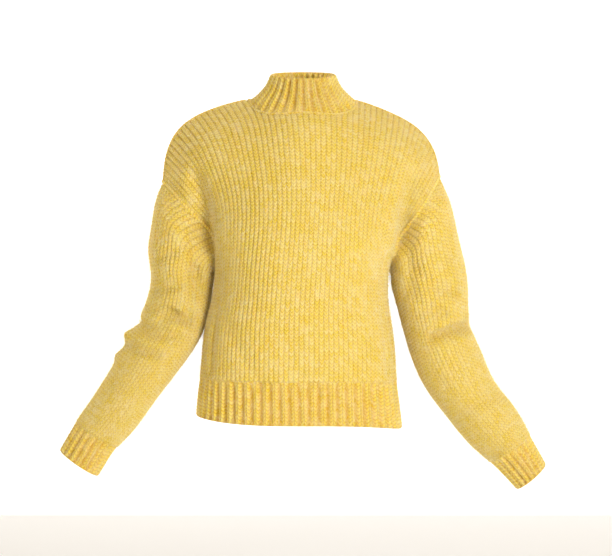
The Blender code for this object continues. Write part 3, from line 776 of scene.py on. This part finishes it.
def noise(tree, vector, scale, detail=2.0, roughness=0.5, distortion=0.0):
    """Smooth noise from 0 to 1."""
    node = tree.nodes.new("ShaderNodeTexNoise")
    put(tree, node.inputs["Vector"], vector)
    put(tree, node.inputs["Scale"], scale)
    node.inputs["Detail"].default_value = detail
    node.inputs["Roughness"].default_value = roughness
    node.inputs["Distortion"].default_value = distortion
    return node.outputs["Fac"]


def joined(tree, x, y, z=0.0):
    """A vector of three values."""
    node = tree.nodes.new("ShaderNodeCombineXYZ")
    for socket, value in zip(node.inputs, (x, y, z)):
        put(tree, socket, value)
    return node.outputs[0]


def stitch_group():
    """Reads where a point lies on its stitch: how high on the yarn, and how far round and up its leg. In a
    rib's grooves the crown is lowered, so that they take more painted shade.
    """
    outputs = (("Crown", "Float"), ("Across", "Float"), ("Along", "Float"), ("Stitch", "Vector"))
    tree, given, out = group("stitch", (("Lean", "Float", LEAN), ("Rib groove shade", "Float", 0.0)), outputs)
    uv = tree.nodes.new("ShaderNodeUVMap")
    uv.uv_map = "stitch"
    parts = tree.nodes.new("ShaderNodeSeparateXYZ")
    tree.links.new(uv.outputs[0], parts.inputs[0])
    wale, course = parts.outputs[0], parts.outputs[1]
    across = maths(tree, "SUBTRACT", 1.0, product(tree, maths(tree, "PINGPONG", wale, 0.5), 2.0))
    level = maths(tree, "SUBTRACT", course, product(tree, given["Lean"], across))
    along = maths(tree, "FRACT", level)
    round_leg = maths(tree, "SINE", product(tree, along, np.pi))
    round_wale = maths(tree, "SINE", maths(tree, "MULTIPLY_ADD", across, 0.80 * np.pi, 0.20 * np.pi))
    crown = product(tree, maths(tree, "POWER", round_leg, 0.7), maths(tree, "POWER", round_wale, 0.65))
    # in the ribbing, the grooves between the ribs get a lower crown, and so more painted shade
    hollow = maths(tree, "MULTIPLY_ADD", maths(tree, "COSINE", product(tree, wale, np.pi)), 0.5, 0.5)
    sunken = product(tree, between(tree, hollow, 0.4, 1.0), given["Rib groove shade"])
    put(tree, out["Crown"], product(tree, crown, maths(tree, "SUBTRACT", 1.0, sunken)))
    put(tree, out["Across"], across)
    put(tree, out["Along"], level)
    put(tree, out["Stitch"], joined(tree, maths(tree, "FLOOR", wale), maths(tree, "FLOOR", level)))
    return tree


def melange_group():
    """Colours of a yarn spun from fibres of several shades, brushed so that pale ones lie across it. Low on
    the yarn, between the stitches and at the sides of their legs, shade is painted on.
    """
    inputs = (
        ("Crown", "Float", 1.0),
        ("Across", "Float", 0.5),
        ("Along", "Float", 0.0),
        ("Stitch", "Vector", (0, 0, 0)),
        # the colour of the painted shade between the stitches
        ("Painted shade", "Color", (0, 0, 0, 1)),
        ("Yarn", "Color", (1, 1, 1, 1)),
        ("Pale", "Color", (1, 1, 1, 1)),
        ("Brushing", "Float", 0.5),
    )
    tree, given, out = group("melange yarn", inputs, (("Color", "Color"), ("Height", "Float")))
    place = tree.nodes.new("ShaderNodeTexCoord").outputs["Object"]
    each = tree.nodes.new("ShaderNodeTexWhiteNoise")
    each.noise_dimensions = "2D"
    put(tree, each.inputs["Vector"], given["Stitch"])
    twist = joined(tree, product(tree, given["Across"], 2.5), product(tree, given["Along"], 14.0))
    strands = noise(tree, twist, 1.6, detail=3.0, roughness=0.6)
    patches = noise(tree, place, 38.0, detail=3.0)
    wisps = noise(tree, place, 330.0, detail=4.0, roughness=0.65, distortion=1.2)
    # low on the yarn, between the stitches and at the sides of their legs, the colour is mixed towards the
    # painted shade
    depth = maths(tree, "ADD", product(tree, given["Crown"], 0.85), product(tree, strands, 0.35))
    colour = mixed(tree, between(tree, depth, 0.25, 1.0), given["Painted shade"], given["Yarn"])
    grain = maths(tree, "ADD", product(tree, each.outputs["Value"], 0.30), product(tree, patches, 0.35))
    grain = maths(tree, "ADD", grain, product(tree, wisps, 0.7))
    pale = product(tree, between(tree, grain, 0.50, 1.10), 0.55)
    colour = mixed(tree, product(tree, pale, given["Brushing"]), colour, given["Pale"])
    streak = maths(tree, "ABSOLUTE", maths(tree, "SUBTRACT", wisps, 0.5))
    hairs = maths(tree, "SUBTRACT", 1.0, between(tree, streak, 0.0, 0.035))
    hair_share = product(tree, hairs, product(tree, given["Brushing"], 0.55))
    put(tree, out["Color"], mixed(tree, hair_share, colour, given["Pale"]))
    put(tree, out["Height"], maths(tree, "ADD", strands, product(tree, hairs, 0.6)))
    return tree


def new_material(name):
    """A new material, with its node tree and its shader."""
    material = bpy.data.materials.new(name)
    material.use_nodes = True
    return material, material.node_tree, material.node_tree.nodes["Principled BSDF"]


def yarn_material(name, groups, brushing, sheen, rib_groove_shade):
    """The yarn. brushing and sheen say how pale it is brushed, and the last argument how much painted shade
    a rib's grooves take.
    """
    material, tree, shader = new_material(name)
    stitch, melange = (tree.nodes.new("ShaderNodeGroup") for _ in groups)
    stitch.node_tree, melange.node_tree = groups
    stitch.inputs["Lean"].default_value = LEAN
    stitch.inputs["Rib groove shade"].default_value = rib_groove_shade
    for label in ("Crown", "Across", "Along", "Stitch"):
        tree.links.new(stitch.outputs[label], melange.inputs[label])
    # the first colour is painted shade for the grooves between the stitches
    for label, colour in (("Painted shade", PAINTED_GROOVE_SHADE), ("Yarn", YARN), ("Pale", PALE)):
        melange.inputs[label].default_value = (*colour, 1)
    melange.inputs["Brushing"].default_value = brushing
    tree.links.new(melange.outputs["Color"], shader.inputs["Base Color"])
    smoothed = product(tree, stitch.outputs["Crown"], 0.15)
    tree.links.new(maths(tree, "SUBTRACT", 1.0, smoothed), shader.inputs["Roughness"])
    bump = tree.nodes.new("ShaderNodeBump")
    bump.inputs["Strength"].default_value = 0.6
    bump.inputs["Distance"].default_value = 0.0006
    tree.links.new(melange.outputs["Height"], bump.inputs["Height"])
    tree.links.new(bump.outputs[0], shader.inputs["Normal"])
    shader.inputs["Specular IOR Level"].default_value = 0.25
    shader.inputs["Sheen Weight"].default_value = sheen
    shader.inputs["Sheen Roughness"].default_value = 0.3
    shader.inputs["Sheen Tint"].default_value = (1.0, 0.90, 0.70, 1)
    shader.inputs["Subsurface Weight"].default_value = 0.2
    shader.inputs["Subsurface Radius"].default_value = (1.0, 0.45, 0.08)
    shader.inputs["Subsurface Scale"].default_value = 0.004
    return material


def fibre_material():
    """The brushed fibres, in patches of their two colours."""
    material, tree, shader = new_material("brushed_fibres")
    place = tree.nodes.new("ShaderNodeTexCoord").outputs["Object"]
    shade = between(tree, noise(tree, place, 60.0, detail=2.0), 0.3, 0.7)
    first, second = ((*colour, 1) for colour in FIBRE_COLOURS)
    tree.links.new(mixed(tree, shade, first, second), shader.inputs["Base Color"])
    shader.inputs["Roughness"].default_value = 0.8
    shader.inputs["Specular IOR Level"].default_value = 0.2
    return material


# Putting it together


def wear(piece, slot, *nodes):
    """Attaches a piece to the root body, in place of these solids, if any, which it hides. The slot is not
    used.
    """
    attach(piece, "root")
    if nodes:
        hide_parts(*nodes)


def rib_rows(rows, top, ribs):
    """The rows up to the top of the ribbing, with two wales to each rib."""
    shares = np.linspace(0, 1, 2 * ribs * COLUMNS + 1)
    return np.array([spread(row, shares) for row in rows[: top + 1]])


def knit_pullover():
    """Knits every piece, sews the seams and brushes the fibres up."""
    groups = stitch_group(), melange_group()
    stockinette = yarn_material("stockinette", groups, brushing=0.85, sheen=0.8, rib_groove_shade=0.0)
    # the ribbing's grooves between its ribs take painted shade
    ribbing = yarn_material("ribbing", groups, brushing=0.7, sheen=0.7, rib_groove_shade=0.55)
    surfaces, torso = {"torso": [], "sleeves": []}, []
    rib_top = int(np.searchsorted(PLACES, KNOTS[RIB_TOP] - 1e-9))
    for label, rows, outwards in (("front", FRONT, True), ("back", BACK, False)):
        tops = torso_tops(rows)
        cloth = Cloth(PLACES, rows, KNOTS[RIB_TOP], tops, closed=False)
        piece, outer, normals = knitted_shell(
            f"{label}_panel_knit", cloth, False, WALL, outwards, True, stockinette
        )
        wear(piece, "stockinette", f"{label}_panel")
        surfaces["torso"].append((outer, normals))
        torso.append(cloth)
        hem = rib_rows(rows, rib_top, HEM_RIBS)
        cloth = Cloth(PLACES[: rib_top + 1], hem, 0.0, KNOTS[RIB_TOP], closed=False)
        piece, outer, normals = knitted_shell(
            f"{label}_hem_rib_knit", cloth, True, WALL, outwards, True, ribbing, "first"
        )
        wear(piece, "ribbing", f"{label}_hem_rib")
        surfaces["torso"].append((outer, normals))
    for label, side in (("right", -1), ("left", 1)):
        knots, rows = sleeve_rows(side, SLEEVE_WALES)
        cuff_top = knots[-1 - CUFF_START]
        cloth = Cloth(knots, rows, cuff_top, knots[-1], closed=True, own_length=0.5)
        piece, outer, normals = knitted_shell(
            f"{label}_sleeve_knit", cloth, False, WALL, side > 0, True, stockinette
        )
        wear(piece, "stockinette", f"{label}_sleeve")
        surfaces["sleeves"].append((outer, normals))
        knots, rows = sleeve_rows(side, 2 * CUFF_RIBS)
        cloth = Cloth(knots, rows, knots[0], knots[-1 - CUFF_START], closed=True)
        piece, outer, normals = knitted_shell(
            f"{label}_cuff_knit", cloth, True, WALL, side > 0, True, ribbing, "first"
        )
        wear(piece, "ribbing", f"{label}_cuff")
        surfaces["sleeves"].append((outer, normals))
    knots, rows = collar_rows(COLLAR_RIBS)
    cloth = Cloth(knots, rows, 0.0, knots[-1], closed=True)
    piece, outer, normals = knitted_shell(
        "collar_knit", cloth, True, COLLAR_WALL, True, False, ribbing, "last"
    )
    wear(piece, "ribbing", "collar")
    surfaces["torso"].append((outer, normals))
    sewn_seams(*torso, stockinette)
    mohair = fibre_material()
    for seed, (label, covered) in enumerate(surfaces.items()):
        wear(brushed_fibres(f"brushed_halo_{label}", covered, FIBRE_COUNT, seed, mohair), "stockinette")


def area_light(name, place, target, size, power, colour=(1, 1, 1)):
    """A round soft lamp that shines at its target."""
    lamp = bpy.data.lights.new(name, "AREA")
    lamp.shape, lamp.size, lamp.energy, lamp.color = "DISK", size, power, colour
    light = bpy.data.objects.new(name, lamp)
    light.location = place
    light.rotation_euler = (Vector(target) - Vector(place)).to_track_quat("-Z", "Y").to_euler()
    bpy.context.scene.collection.objects.link(light)


def paper(name, corners, glow):
    """A flat sheet of white paper. It glows a little where lamps behind it would light it."""
    mesh = bpy.data.meshes.new(name)
    mesh.from_pydata(corners, [], [(0, 1, 2, 3)])
    material, _, shader = new_material(name)
    shader.inputs["Base Color"].default_value = (0.95, 0.95, 0.95, 1)
    shader.inputs["Roughness"].default_value = 0.9
    shader.inputs["Emission Color"].default_value = (1, 1, 1, 1)
    shader.inputs["Emission Strength"].default_value = glow
    placed(name, mesh, material)


def studio():
    """White paper behind and below, soft lamps, and a long lens at the height of the chest."""
    floor, wall, half, height = -1.36, 4.6, 7.0, 5.0
    near, far = ([(-half, y, floor), (half, y, floor)] for y in (-half, wall))
    top = [(-half, wall, height), (half, wall, height)]
    paper("floor", near + far[::-1], glow=0.0)
    paper("backdrop", far + top[::-1], glow=0.8)
    world = bpy.data.worlds.new("studio")
    world.use_nodes = True
    background = world.node_tree.nodes["Background"]
    background.inputs["Color"].default_value = (1.0, 0.88, 0.70, 1)
    background.inputs["Strength"].default_value = 0.5
    bpy.context.scene.world = world
    middle = (0.0, 0.0, -0.3)
    area_light("key", (1.1, -2.4, 0.1), middle, 0.9, 50, (1.0, 1.015, 1.10))
    area_light("fill", (-1.8, -2.0, 0.0), middle, 1.6, 10)
    area_light("top", (0.2, 0.3, 1.7), middle, 1.2, 9)
    area_light("right_rim", (-1.7, 1.2, 0.0), middle, 1.0, 30)
    area_light("left_rim", (1.7, 1.2, 0.0), middle, 1.0, 20)
    camera = bpy.data.cameras.new("camera")
    camera.lens, camera.sensor_width = 100.8, 36.0
    lens = bpy.data.objects.new("camera", camera)
    lens.location = (0.005, -3.0, -0.310)
    lens.rotation_euler = (np.pi / 2, 0, 0)
    bpy.context.scene.collection.objects.link(lens)
    bpy.context.scene.camera = lens
    bpy.context.scene.view_settings.view_transform = "Standard"


knit_pullover()
studio()
